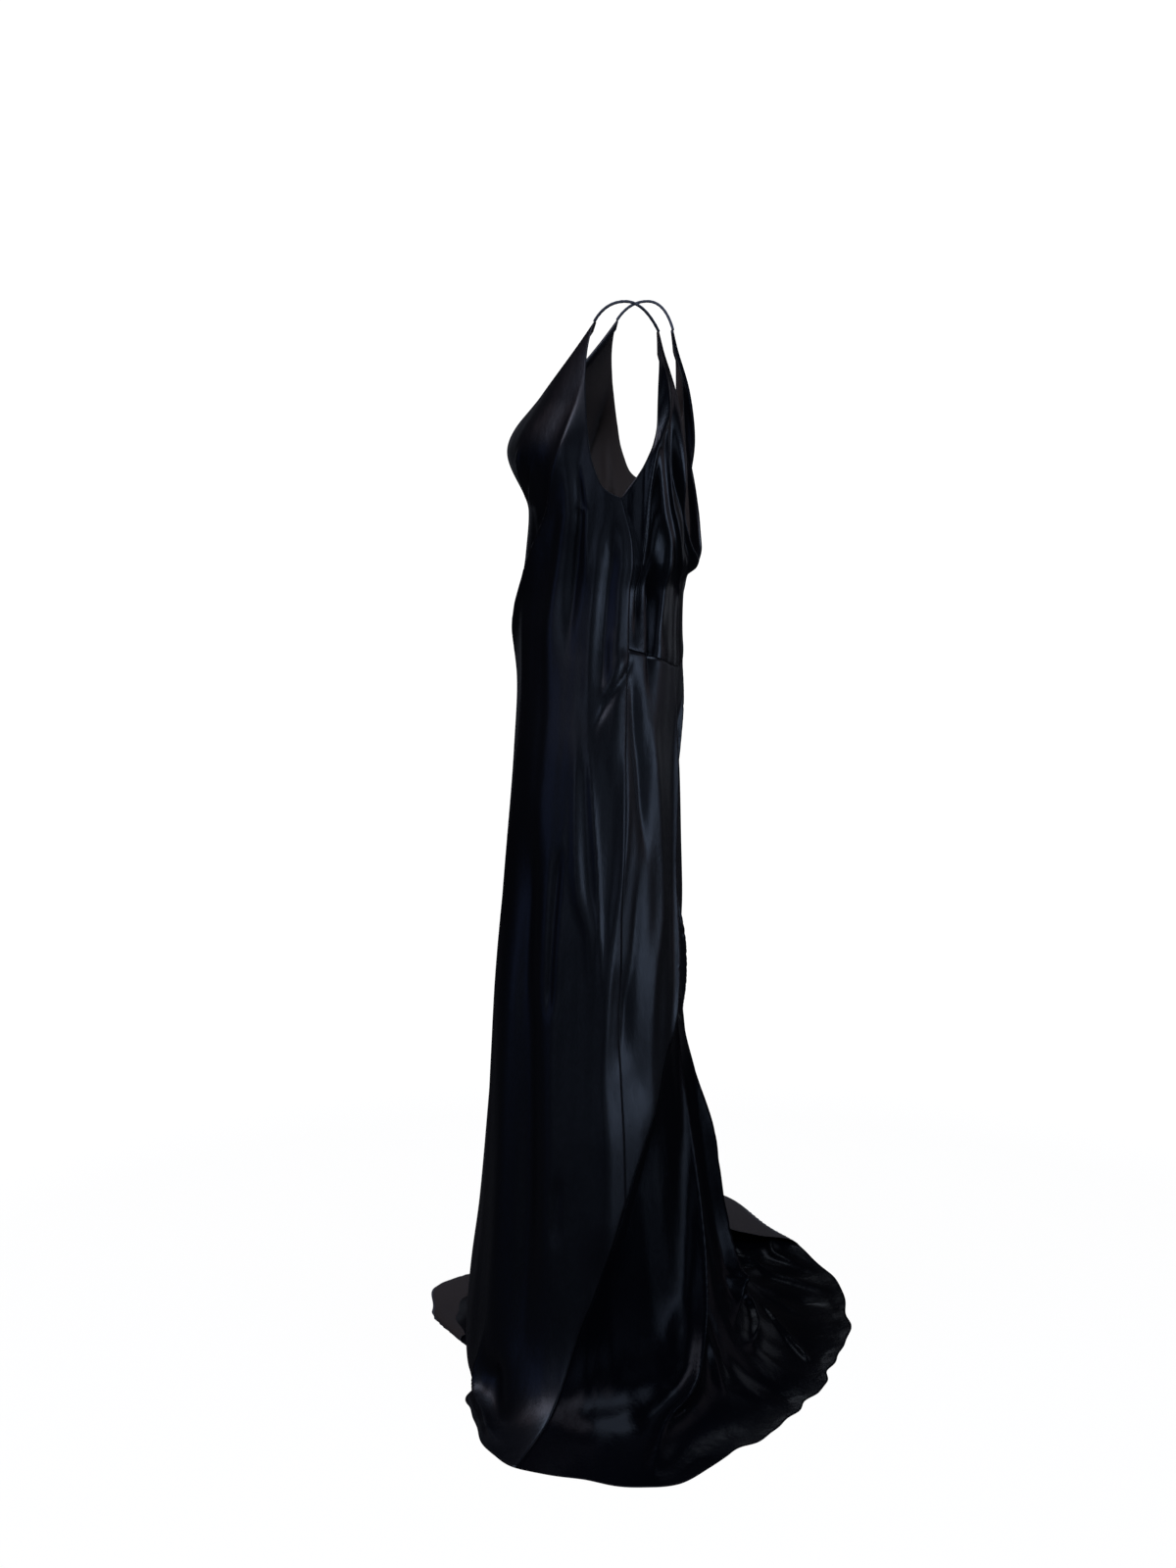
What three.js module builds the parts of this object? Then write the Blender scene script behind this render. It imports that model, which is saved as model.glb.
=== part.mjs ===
// Evening gown in satin, worn on no one: the hollow form of the cloth, in millimetres.
// +Z is up, -Y is the front, +X is the wearer's left. The origin is midway between the tops of the straps.
// Every panel is a patch of one body surface. A place on that surface is (angle, drop): angle goes round the
// body from the front centre towards the wearer's left, and drop is the way down the cloth from the strap tops.
import * as THREE from "three";

// Driving sizes
const WALL = 1.6;
const SEAM_GAP = 0.35;
const FLOOR_Z = -1500;
const HEM_DROP = 1700;
const BEND_REACH = 0.35; // share of the floor run taken by the bend
const STRAP_DIAMETER = 4;
const STRAP_SIDES = 8;
const STRAP_STEPS = 20;
const STRAP_TOP = { x: 122, y: 0, z: -STRAP_DIAMETER / 2 };
const STRAP_START = 0.45; // clear way between a strap's end and the point of the panel that it carries

// Grid cells of the panels: rows along each stretch of the side line, and columns between the side lines
const ROWS = { trainSeam: 13, sideSeam: 13, upperSide: 4, armhole: 7 };
const COLUMNS = { front: 26, back: 26 };

// Horizontal rings of the body surface
const RING_COLUMNS = ["drop", "front", "back", "side", "square"];
const RINGS = table(RING_COLUMNS, [
  [0, -46, 40, 128, 2.4],
  [60, -89, 60, 131, 2.4],
  [125, -129, 76, 136, 2.4],
  [200, -172, 84, 146, 2.3],
  [280, -143, 84, 143, 2.2],
  [338, -148, 85, 138, 2.2],
  [378, -154, 64, 136, 2.2],
  [440, -160, 61, 142, 2.2],
  [500, -159, 62, 153, 2.2],
  [600, -163, 56, 172, 2.3],
  [740, -174, 54, 183, 2.4],
  [900, -189, 60, 188, 2.4],
  [1010, -198, 67, 193, 2.3],
  [1110, -206, 79, 199, 2.2],
  [1250, -219, 98, 207, 2.1],
  [1340, -231, 118, 214, 2.0],
  [1420, -238, 132, 222, 2.0],
]);

// Where the cloth leaves the rings and starts to bend out onto the floor
const BEND_COLUMNS = ["angle", "drop"];
const BEND = table(BEND_COLUMNS, [
  [0, 1370],
  [60, 1370],
  [100, 1350],
  [130, 1310],
  [160, 1270],
  [200, 1250],
  [250, 1270],
  [300, 1340],
  [360, 1370],
]);

// How far the hem lies from the body's axis round the floor, and how high it stands off the floor
const HEM_COLUMNS = ["angle", "reach", "lift"];
const HEM = table(HEM_COLUMNS, [
  [0, 226, 0],
  [22, 236, 0],
  [38, 264, 0],
  [55, 316, 0],
  [66, 360, 0],
  [80, 381, 0],
  [101, 400, 0],
  [118, 336, 0],
  [144, 285, 0],
  [166, 275, 0],
  [184, 286, 0],
  [200, 316, 0],
  [218, 380, 0],
  [234, 445, 10],
  [248, 488, 34],
  [262, 505, 66],
  [276, 462, 50],
  [290, 425, 6],
  [308, 425, 0],
  [322, 418, 0],
  [336, 350, 0],
  [348, 285, 0],
  [360, 226, 0],
]);

// Largest folds: soft ridges (depth above zero) and troughs that run down the cloth
const FOLD_COLUMNS = ["top", "bottom", "topAngle", "bottomAngle", "width", "depth"];
const FOLDS = table(FOLD_COLUMNS, [
  [470, 1500, 160, 147, 9, 9],
  [500, 1350, 178, 176, 10, -12],
  [470, 1500, 200, 212, 9, 9],
  [960, 1620, 166, 166, 8, 12],
  [980, 1620, 190, 194, 8, 12],
  [1000, 1640, 140, 122, 8, -9],
  [1000, 1640, 220, 240, 9, -9],
  [560, 1560, 128, 110, 7, 5],
  [560, 1560, 232, 252, 7, 5],
  [620, 1540, 96, 96, 8, -5],
  [620, 1540, 264, 264, 8, -5],
  [560, 1540, 80, 76, 8, 5],
  [560, 1540, 280, 284, 8, 5],
  [700, 1480, 40, 44, 10, -6],
  [700, 1480, 320, 316, 10, -6],
  [180, 420, 32, 12, 9, 5],
  [180, 420, 328, 348, 9, 5],
]);

// Lines on the near side (the wearer's left), from low to high; the other side mirrors them
const LINE_COLUMNS = ["drop", "angle"];
const TRAIN_SEAM = table(LINE_COLUMNS, [
  [HEM_DROP, 73],
  [1632, 75],
  [1515, 81],
  [1380, 92],
  [1314, 101],
  [1233, 113],
  [1195, 118.5],
  [1154, 125],
  [1078, 140],
  [1000, 153],
  [946, 180],
]);
const SIDE_SEAM = table(LINE_COLUMNS, [
  [1195, 118.5],
  [756, 122],
  [575, 121],
  [452, 119],
  [320, 115],
  [252, 107],
]);
const FRONT_ARMHOLE = table(LINE_COLUMNS, [
  [252, 107],
  [246, 100],
  [234, 93.5],
  [205, 88],
  [173, 84.5],
  [113, 75],
  [66, 65],
  [28, 57],
]);
const BACK_ARMHOLE = table(LINE_COLUMNS, [
  [252, 107],
  [208, 121],
  [159, 128],
  [109, 131],
  [41, 141],
]);
const YOKE_SEAM = table(LINE_COLUMNS, [
  [452, 119],
  [463, 138],
  [482, 160],
  [490, 180],
]);
const FRONT_NECK = table(LINE_COLUMNS, [
  [28, 57],
  [60, 50],
  [109, 37],
  [150, 24],
  [180, 12],
  [192, 0],
]);
const BACK_NECK = table(LINE_COLUMNS, [
  [41, 141],
  [131, 146],
  [231, 151],
  [290, 157],
  [330, 166],
  [350, 180],
]);
const CROSSING = 1195; // drop at which the side seam runs into the train seam
const SLOPE_STEP = 10; // drop over which the slope of the rings is taken at the bend
const NECK_PULL = 4; // how fast a neckline's shape fades down its panel

const SATIN = { color: 0x0b0d12, roughness: 0.34, metalness: 0, side: THREE.DoubleSide };

function table(columns, rows) {
  return rows.map((row) => Object.fromEntries(columns.map((name, i) => [name, row[i]])));
}

// Monotone cubic through a table's rows: the value of one column at a place in another
function along(rows, xName, yName) {
  const sorted = [...rows].sort((a, b) => a[xName] - b[xName]);
  const x = sorted.map((row) => row[xName]);
  const y = sorted.map((row) => row[yName]);
  const last = x.length - 1;
  const secant = x.slice(1).map((end, i) => (y[i + 1] - y[i]) / (end - x[i]));
  const slope = x.map((_, i) => {
    if (i === 0) return secant[0];
    if (i === last) return secant[last - 1];
    const [before, after] = [secant[i - 1], secant[i]];
    return before * after <= 0 ? 0 : (2 * before * after) / (before + after);
  });
  return (at) => {
    const clamped = Math.min(Math.max(at, x[0]), x[last]);
    let i = 0;
    while (i < last - 1 && clamped > x[i + 1]) i += 1;
    const span = x[i + 1] - x[i];
    const t = (clamped - x[i]) / span;
    const rise = y[i] * (1 + 2 * t) * (1 - t) ** 2 + y[i + 1] * t * t * (3 - 2 * t);
    return rise + span * (slope[i] * t * (1 - t) ** 2 - slope[i + 1] * t * t * (1 - t));
  };
}

const ringFront = along(RINGS, "drop", "front");
const ringBack = along(RINGS, "drop", "back");
const ringSide = along(RINGS, "drop", "side");
const ringSquare = along(RINGS, "drop", "square");
const hemReach = along(HEM, "angle", "reach");
const hemLift = along(HEM, "angle", "lift");
const bendDrop = along(BEND, "angle", "drop");
const radians = THREE.MathUtils.degToRad;

// A point of a ring: a superellipse whose centre lies midway between its front and its back
function ringPoint(angle, drop) {
  const across = Math.sin(radians(angle));
  const ahead = Math.cos(radians(angle));
  const square = ringSquare(drop);
  const scale = (Math.abs(across) ** square + Math.abs(ahead) ** square) ** (-1 / square);
  const middle = (ringFront(drop) + ringBack(drop)) / 2;
  const half = (ringBack(drop) - ringFront(drop)) / 2;
  return new THREE.Vector3(scale * ringSide(drop) * across, middle - scale * half * ahead, -drop);
}

// The body surface without folds: rings down to the bend, then a cubic curve from their slope out to the hem
function bodyPoint(angle, drop) {
  const round = ((angle % 360) + 360) % 360;
  const bend = bendDrop(round);
  const top = ringPoint(angle, Math.min(drop, bend));
  if (drop <= bend) return top;
  const t = (drop - bend) / (HEM_DROP - bend);
  const slope = top.clone().sub(ringPoint(angle, bend - SLOPE_STEP)).divideScalar(SLOPE_STEP);
  const reach = hemReach(round);
  const floor = FLOOR_Z + WALL / 2;
  const hem = new THREE.Vector3(
    reach * Math.sin(radians(angle)),
    -reach * Math.cos(radians(angle)),
    floor + hemLift(round),
  );
  const first = top.clone().addScaledVector(slope, (HEM_DROP - bend) / 3);
  const second = top.clone().lerp(hem, BEND_REACH).setZ(floor);
  return top
    .multiplyScalar((1 - t) ** 3)
    .addScaledVector(first, 3 * t * (1 - t) ** 2)
    .addScaledVector(second, 3 * t * t * (1 - t))
    .addScaledVector(hem, t ** 3);
}

function normalOf(point, angle, drop) {
  const step = { angle: 0.5, drop: 2 };
  const low = Math.min(drop + step.drop, HEM_DROP);
  const round = point(angle + step.angle, drop).sub(point(angle - step.angle, drop));
  const down = point(angle, low).sub(point(angle, low - 2 * step.drop));
  return down.cross(round).normalize();
}

// Sum of the folds at a place, in millimetres: each is a bell across and fades in and out along its run
function foldDepth(angle, drop) {
  let sum = 0;
  for (const fold of FOLDS) {
    const t = (drop - fold.top) / (fold.bottom - fold.top);
    if (t <= 0 || t >= 1) continue;
    const middle = fold.topAngle + (fold.bottomAngle - fold.topAngle) * t;
    const off = (((angle - middle + 540) % 360) - 180) / fold.width;
    sum += fold.depth * Math.exp(-off * off) * Math.sin(Math.PI * t) ** 0.7;
  }
  return sum;
}

function clothPoint(angle, drop) {
  const out = normalOf(bodyPoint, angle, drop).multiplyScalar(foldDepth(angle, drop));
  const point = bodyPoint(angle, drop).add(out);
  return point.setZ(Math.max(point.z, FLOOR_Z + WALL / 2));
}

// Places along a line's table, evenly by length on the cloth, from one drop to another
function stretch(rows, cells, fromDrop, toDrop, byAngle = false) {
  const key = byAngle ? "angle" : "drop";
  const other = byAngle ? "drop" : "angle";
  const value = along(rows, key, other);
  const ends = [fromDrop, toDrop].map((drop) => (byAngle ? along(rows, "drop", "angle")(drop) : drop));
  return Array.from({ length: cells + 1 }, (_, i) => {
    const at = ends[0] + ((ends[1] - ends[0]) * i) / cells;
    return byAngle ? { angle: at, drop: value(at) } : { angle: value(at), drop: at };
  });
}

const mirrored = (line) => line.map((place) => ({ angle: 360 - place.angle, drop: place.drop }));
const turned = (line) => line.map((place) => ({ angle: place.angle - 360, drop: place.drop }));
const joined = (...lines) => lines.reduce((all, line) => all.concat(line.slice(1)));
const reversed = (line) => [...line].reverse();

// A panel's places: the four border lines blended, rows from bottom to top, each from one side to the other
function blend(bottom, top, left, right, pull) {
  const columns = bottom.length - 1;
  const rows = left.length - 1;
  return left.map((start, j) =>
    bottom.map((_, i) => {
      const u = i / columns;
      const v = (j / rows) ** pull;
      const place = {};
      for (const key of ["angle", "drop"]) {
        const low = bottom[i][key] - ((1 - u) * bottom[0][key] + u * bottom[columns][key]);
        const high = top[i][key] - ((1 - u) * top[0][key] + u * top[columns][key]);
        place[key] = (1 - u) * start[key] + u * right[j][key] + (1 - j / rows) * low + v * high;
      }
      return place;
    }),
  );
}

// Moves a panel's border in along the cloth, so that two panels keep a gap at their seam
function drawIn(points, normals) {
  const rows = points.length - 1;
  const columns = points[0].length - 1;
  const moved = points.map((row) => row.map((point) => point.clone()));
  for (let j = 0; j <= rows; j += 1) {
    for (let i = 0; i <= columns; i += 1) {
      const sides = [
        [j === 0, points[j][Math.max(i - 1, 0)], points[j][Math.min(i + 1, columns)]],
        [j === rows, points[j][Math.min(i + 1, columns)], points[j][Math.max(i - 1, 0)]],
        [i === columns, points[Math.max(j - 1, 0)][i], points[Math.min(j + 1, rows)][i]],
        [i === 0, points[Math.min(j + 1, rows)][i], points[Math.max(j - 1, 0)][i]],
      ];
      for (const [onBorder, from, to] of sides) {
        if (!onBorder) continue;
        const inward = normals[j][i].clone().cross(to.clone().sub(from)).normalize();
        moved[j][i].addScaledVector(inward, SEAM_GAP / 2);
      }
    }
  }
  return moved;
}

// A panel as a closed wall: the grid moved half the wall outwards, half inwards, and joined round its border
function panelGeometry(places) {
  const points = places.map((row) => row.map((place) => clothPoint(place.angle, place.drop)));
  const normals = places.map((row) => row.map((place) => normalOf(clothPoint, place.angle, place.drop)));
  const middle = drawIn(points, normals);
  const rows = places.length;
  const columns = places[0].length;
  const positions = [];
  for (const side of [1, -1]) {
    middle.forEach((row, j) =>
      row.forEach((point, i) => {
        positions.push(...point.clone().addScaledVector(normals[j][i], (side * WALL) / 2).toArray());
      }),
    );
  }
  const at = (j, i, inner) => (inner ? rows * columns : 0) + j * columns + i;
  const faces = [];
  const quad = (a, b, c, d) => faces.push(a, b, c, a, c, d);
  for (let j = 0; j < rows - 1; j += 1) {
    for (let i = 0; i < columns - 1; i += 1) {
      quad(at(j, i, 0), at(j, i + 1, 0), at(j + 1, i + 1, 0), at(j + 1, i, 0));
      quad(at(j, i, 1), at(j + 1, i, 1), at(j + 1, i + 1, 1), at(j, i + 1, 1));
    }
  }
  for (let i = 0; i < columns - 1; i += 1) {
    quad(at(0, i, 1), at(0, i + 1, 1), at(0, i + 1, 0), at(0, i, 0));
    quad(at(rows - 1, i, 0), at(rows - 1, i + 1, 0), at(rows - 1, i + 1, 1), at(rows - 1, i, 1));
  }
  for (let j = 0; j < rows - 1; j += 1) {
    quad(at(j, 0, 0), at(j + 1, 0, 0), at(j + 1, 0, 1), at(j, 0, 1));
    quad(at(j, columns - 1, 1), at(j + 1, columns - 1, 1), at(j + 1, columns - 1, 0), at(j, columns - 1, 0));
  }
  return closedGeometry(positions, faces);
}

function closedGeometry(positions, faces) {
  const geometry = new THREE.BufferGeometry();
  geometry.setAttribute("position", new THREE.Float32BufferAttribute(positions, 3));
  geometry.setIndex(faces);
  geometry.computeVertexNormals();
  return geometry;
}

function hemLine(cells, from, to) {
  return Array.from({ length: cells + 1 }, (_, i) => ({
    angle: from + ((to - from) * i) / cells,
    drop: HEM_DROP,
  }));
}

function across(half) {
  return joined(half, reversed(mirrored(half)));
}

const seamLow = stretch(TRAIN_SEAM, ROWS.trainSeam, HEM_DROP, CROSSING);
const seamHigh = stretch(TRAIN_SEAM, COLUMNS.back / 2, CROSSING, TRAIN_SEAM.at(-1).drop, true);
const sideLow = stretch(SIDE_SEAM, ROWS.sideSeam, CROSSING, YOKE_SEAM[0].drop);
const sideHigh = stretch(SIDE_SEAM, ROWS.upperSide, YOKE_SEAM[0].drop, SIDE_SEAM.at(-1).drop);
const armholeAhead = stretch(FRONT_ARMHOLE, ROWS.armhole, SIDE_SEAM.at(-1).drop, FRONT_ARMHOLE.at(-1).drop);
const armholeBehind = stretch(BACK_ARMHOLE, ROWS.armhole, SIDE_SEAM.at(-1).drop, BACK_ARMHOLE.at(-1).drop);

function frontPlaces() {
  const left = joined(seamLow, sideLow, sideHigh, armholeAhead);
  const right = turned(mirrored(left));
  const half = stretch(FRONT_NECK, COLUMNS.front / 2, FRONT_NECK[0].drop, FRONT_NECK.at(-1).drop, true);
  const neck = joined(half, reversed(turned(mirrored(half))));
  const hem = hemLine(COLUMNS.front, left[0].angle, right[0].angle);
  return blend(reversed(hem), reversed(neck), right, left, NECK_PULL);
}

function backBodicePlaces() {
  const left = joined(sideHigh, armholeBehind);
  const yoke = across(stretch(YOKE_SEAM, COLUMNS.back / 2, YOKE_SEAM[0].drop, YOKE_SEAM.at(-1).drop, true));
  const neck = across(stretch(BACK_NECK, COLUMNS.back / 2, BACK_NECK[0].drop, BACK_NECK.at(-1).drop, true));
  return blend(yoke, neck, left, mirrored(left), 1);
}

function backSkirtPlaces() {
  const yoke = across(stretch(YOKE_SEAM, COLUMNS.back / 2, YOKE_SEAM[0].drop, YOKE_SEAM.at(-1).drop, true));
  return blend(across(seamHigh), yoke, sideLow, mirrored(sideLow), 1);
}

function trainPlaces() {
  const hem = hemLine(COLUMNS.back, seamLow[0].angle, 360 - seamLow[0].angle);
  return blend(hem, across(seamHigh), seamLow, mirrored(seamLow), 1);
}

// A strap: a round cord from the front point of its side, over the shoulder, to the back point
function strapGeometry(sign) {
  const front = clothPoint(FRONT_NECK[0].angle, FRONT_NECK[0].drop);
  const back = clothPoint(BACK_NECK[0].angle, BACK_NECK[0].drop);
  const top = new THREE.Vector3(STRAP_TOP.x, STRAP_TOP.y, STRAP_TOP.z);
  const rise = 0.62; // how straight the strap leaves each point before it turns over the shoulder
  const before = new THREE.Vector3(top.x, front.y * rise, top.z);
  const after = new THREE.Vector3(top.x, back.y * rise, top.z);
  const start = front.clone().addScaledVector(before.clone().sub(front).normalize(), STRAP_START);
  const end = back.clone().addScaledVector(after.clone().sub(back).normalize(), STRAP_START);
  const path = new THREE.CurvePath();
  path.add(new THREE.QuadraticBezierCurve3(start, before, top));
  path.add(new THREE.QuadraticBezierCurve3(top, after, end));
  const outline = new THREE.Shape();
  outline.absarc(0, 0, STRAP_DIAMETER / 2, 0, 2 * Math.PI);
  const settings = { steps: STRAP_STEPS, curveSegments: STRAP_SIDES, bevelEnabled: false, extrudePath: path };
  const geometry = new THREE.ExtrudeGeometry(outline, settings);
  return sign > 0 ? geometry : mirrorAcross(geometry);
}

function mirrorAcross(geometry) {
  const flat = geometry.index ? geometry.toNonIndexed() : geometry;
  const old = flat.attributes.position.array;
  const positions = [];
  for (let i = 0; i < old.length; i += 9) {
    for (const corner of [0, 2, 1]) {
      const at = i + 3 * corner;
      positions.push(-old[at], old[at + 1], old[at + 2]);
    }
  }
  const mirror = new THREE.BufferGeometry();
  mirror.setAttribute("position", new THREE.Float32BufferAttribute(positions, 3));
  mirror.computeVertexNormals();
  return mirror;
}

function piece(name, geometry) {
  const mesh = new THREE.Mesh(geometry, new THREE.MeshStandardMaterial(SATIN));
  mesh.name = name;
  return mesh;
}

const group = new THREE.Group();
group.add(
  piece("front", panelGeometry(frontPlaces())),
  piece("back_bodice", panelGeometry(backBodicePlaces())),
  piece("back_skirt", panelGeometry(backSkirtPlaces())),
  piece("train", panelGeometry(trainPlaces())),
  piece("strap_left", strapGeometry(1)),
  piece("strap_right", strapGeometry(-1)),
);

export default group;
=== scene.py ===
import math
from collections import namedtuple

import bmesh
import bpy
import mathutils
import numpy as np
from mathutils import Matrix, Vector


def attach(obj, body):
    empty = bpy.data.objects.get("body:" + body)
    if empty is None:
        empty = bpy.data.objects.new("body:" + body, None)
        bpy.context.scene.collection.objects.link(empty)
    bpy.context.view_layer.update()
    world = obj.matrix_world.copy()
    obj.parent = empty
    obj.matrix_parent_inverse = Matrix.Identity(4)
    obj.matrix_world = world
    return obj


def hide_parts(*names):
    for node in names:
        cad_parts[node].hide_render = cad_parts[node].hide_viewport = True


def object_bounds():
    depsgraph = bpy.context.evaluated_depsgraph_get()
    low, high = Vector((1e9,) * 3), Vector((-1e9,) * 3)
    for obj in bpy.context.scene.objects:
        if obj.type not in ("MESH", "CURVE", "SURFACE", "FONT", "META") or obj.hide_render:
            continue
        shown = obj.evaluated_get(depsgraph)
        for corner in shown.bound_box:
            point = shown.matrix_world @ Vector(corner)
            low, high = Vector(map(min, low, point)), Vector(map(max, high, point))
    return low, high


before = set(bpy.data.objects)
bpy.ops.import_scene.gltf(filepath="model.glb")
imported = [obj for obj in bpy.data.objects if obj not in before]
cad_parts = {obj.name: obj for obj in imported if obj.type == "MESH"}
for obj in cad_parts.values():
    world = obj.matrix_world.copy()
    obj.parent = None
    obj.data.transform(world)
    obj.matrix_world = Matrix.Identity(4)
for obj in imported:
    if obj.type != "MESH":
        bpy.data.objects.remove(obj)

bl_info = {
    "name": "Satin evening gown",
    "version": (1, 0, 0),
    "blender": (4, 5, 0),
    "location": "View3D > Sidebar > Gown",
    "description": "Builds a satin evening gown with a cowl back and a train, as it hangs on its wearer",
    "category": "Mesh",
}

# The body surface. A place on it is (angle, drop): the angle in degrees goes round the body from the front
# centre towards the wearer's left, and the drop in metres goes down the cloth from the tops of the straps.
CAD_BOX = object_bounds()
FLOOR_Z = CAD_BOX[0][2]
WALL = 0.0016  # thickness of the solid panels; the cloth lies in their middle
HEM_DROP = 1.7
CROSSING = 1.195  # the drop at which the side seams meet the train seams
BEND_REACH = 0.35  # the bend's curve aims for the floor at this share of the way out to the hem
SLOPE_STEP = 0.01

# Level rings of the body: where a ring's front, widest line and back lie behind the straps' tops (in front of
# them is below zero), its half width, and how square it is
RING_COLUMNS = ("drop", "front", "centre", "back", "side", "square")
RINGS = (
    (0.000, -0.046, -0.003, 0.038, 0.128, 2.4),
    (0.060, -0.089, -0.014, 0.056, 0.131, 2.4),
    (0.125, -0.129, -0.025, 0.072, 0.136, 2.4),
    (0.200, -0.172, -0.034, 0.078, 0.146, 2.3),
    (0.280, -0.143, -0.036, 0.078, 0.143, 2.2),
    (0.338, -0.148, -0.039, 0.074, 0.138, 2.2),
    (0.378, -0.154, -0.043, 0.063, 0.136, 2.2),
    (0.440, -0.160, -0.048, 0.061, 0.142, 2.2),
    (0.500, -0.159, -0.050, 0.061, 0.153, 2.2),
    (0.600, -0.163, -0.053, 0.056, 0.172, 2.3),
    (0.740, -0.174, -0.059, 0.054, 0.183, 2.4),
    (0.900, -0.189, -0.064, 0.060, 0.188, 2.4),
    (1.010, -0.198, -0.065, 0.067, 0.193, 2.3),
    (1.110, -0.206, -0.063, 0.079, 0.199, 2.2),
    (1.250, -0.219, -0.060, 0.098, 0.207, 2.1),
    (1.340, -0.231, -0.057, 0.118, 0.214, 2.0),
    (1.420, -0.238, -0.053, 0.132, 0.222, 2.0),
)
# The hem: how far it lies from the axis, and how high it is lifted off the floor
HEM_COLUMNS = ("angle", "reach", "lift")
HEM = (
    (0, 0.226, 0.0),
    (22, 0.236, 0.0),
    (38, 0.264, 0.0),
    (55, 0.316, 0.0),
    (66, 0.360, 0.0),
    (80, 0.381, 0.0),
    (101, 0.400, 0.0),
    (118, 0.336, 0.0),
    (144, 0.285, 0.0),
    (166, 0.275, 0.0),
    (184, 0.286, 0.0),
    (200, 0.316, 0.0),
    (218, 0.380, 0.0),
    (234, 0.445, 0.010),
    (248, 0.488, 0.034),
    (262, 0.505, 0.078),
    (276, 0.462, 0.050),
    (290, 0.425, 0.006),
    (308, 0.425, 0.0),
    (322, 0.418, 0.0),
    (336, 0.350, 0.0),
    (348, 0.285, 0.0),
    (360, 0.226, 0.0),
)

# Where the cloth leaves the rings and starts to bend out onto the floor
BEND_COLUMNS = ("angle", "drop")
BEND = (
    (0, 1.37),
    (60, 1.37),
    (100, 1.35),
    (130, 1.31),
    (160, 1.27),
    (200, 1.25),
    (250, 1.27),
    (300, 1.34),
    (360, 1.37),
)

# Border lines of the panels on the near side, the wearer's left; the other side mirrors them
LINE_COLUMNS = ("drop", "angle")
TRAIN_SEAM = (
    (HEM_DROP, 73),
    (1.632, 75),
    (1.515, 81),
    (1.380, 92),
    (1.314, 101),
    (1.233, 113),
    (CROSSING, 118.5),
    (1.154, 125),
    (1.078, 140),
    (1.000, 153),
    (0.946, 180),
)
SIDE_SEAM = ((CROSSING, 118.5), (0.756, 122), (0.575, 121), (0.452, 119), (0.320, 115), (0.252, 107))
FRONT_ARMHOLE = (
    (0.252, 107),
    (0.246, 100),
    (0.234, 93.5),
    (0.205, 88),
    (0.173, 84.5),
    (0.113, 75),
    (0.066, 65),
    (0.028, 57),
)
BACK_ARMHOLE = ((0.252, 107), (0.208, 121), (0.159, 128), (0.109, 131), (0.041, 141))
YOKE_SEAM = ((0.452, 119), (0.463, 138), (0.482, 160), (0.490, 180))
FRONT_NECK = ((0.028, 57), (0.060, 50), (0.109, 37), (0.150, 24), (0.180, 12), (0.192, 0))
BACK_NECK = ((0.041, 141), (0.131, 146), (0.231, 151), (0.290, 157), (0.330, 166), (0.350, 180))

# Where the hem is turned over on the floor, so that its reverse shows: how much of the cloth lies back on
# itself, how high the upper layer lies, and over what run it gets there
TURN_COLUMNS = ("angle", "turned")
TURNED_HEM = (
    (0, 0.0),
    (243, 0.0),
    (250, 0.050),
    (257, 0.110),
    (266, 0.120),
    (276, 0.080),
    (286, 0.0),
    (308, 0.0),
    (318, 0.070),
    (334, 0.075),
    (346, 0.040),
    (352, 0.0),
    (360, 0.0),
)
TURN_HEIGHT = 0.006
TURN_ROUNDING = 0.004
# Folds die away on a turned hem: over this much drop, and where this much cloth is turned
LAYER_EASE = {"drop": 0.04, "turned": 0.02}

# Folds of the near side. A fold has its half width, its depth (ridges above zero, troughs below), how round
# its crest is, how far it leans back over its rear side, and its course down the cloth as (drop, angle)
Fold = namedtuple("Fold", "width depth crest lean course")
BUST_FOLDS = (
    (0.020, 0.0130, 0.12, -0.4, (
        (0.060, 70), (0.140, 72), (0.192, 71), (0.256, 60), (0.317, 45), (0.379, 30), (0.449, 17),
        (0.540, 8),
    )),
    (0.022, -0.0080, 0.80, 0.0, ((0.180, 60), (0.270, 46), (0.340, 31), (0.440, 12))),
    (0.022, 0.0080, 0.60, -0.3, ((0.110, 77), (0.242, 74), (0.320, 68), (0.410, 64), (0.560, 62))),
    (0.010, -0.0100, 0.50, 0.0, ((0.150, 82), (0.268, 80), (0.345, 78), (0.480, 78))),
    (0.007, 0.0040, 0.30, 0.0, ((0.170, 80), (0.242, 83), (0.300, 84), (0.380, 86))),
    (0.005, 0.0035, 0.20, 0.0, ((0.180, 43), (0.230, 36), (0.275, 20))),
    (0.005, 0.0030, 0.20, 0.0, ((0.205, 53), (0.246, 41), (0.272, 26))),
    (0.012, 0.0050, 0.60, 0.0, ((0.270, 92), (0.400, 92), (0.560, 93))),
    (0.010, -0.0060, 0.60, 0.0, ((0.260, 101), (0.420, 102), (0.560, 103))),
    (0.010, 0.0050, 0.40, 0.0, ((0.270, 108), (0.400, 110), (0.500, 112))),
)
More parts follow.
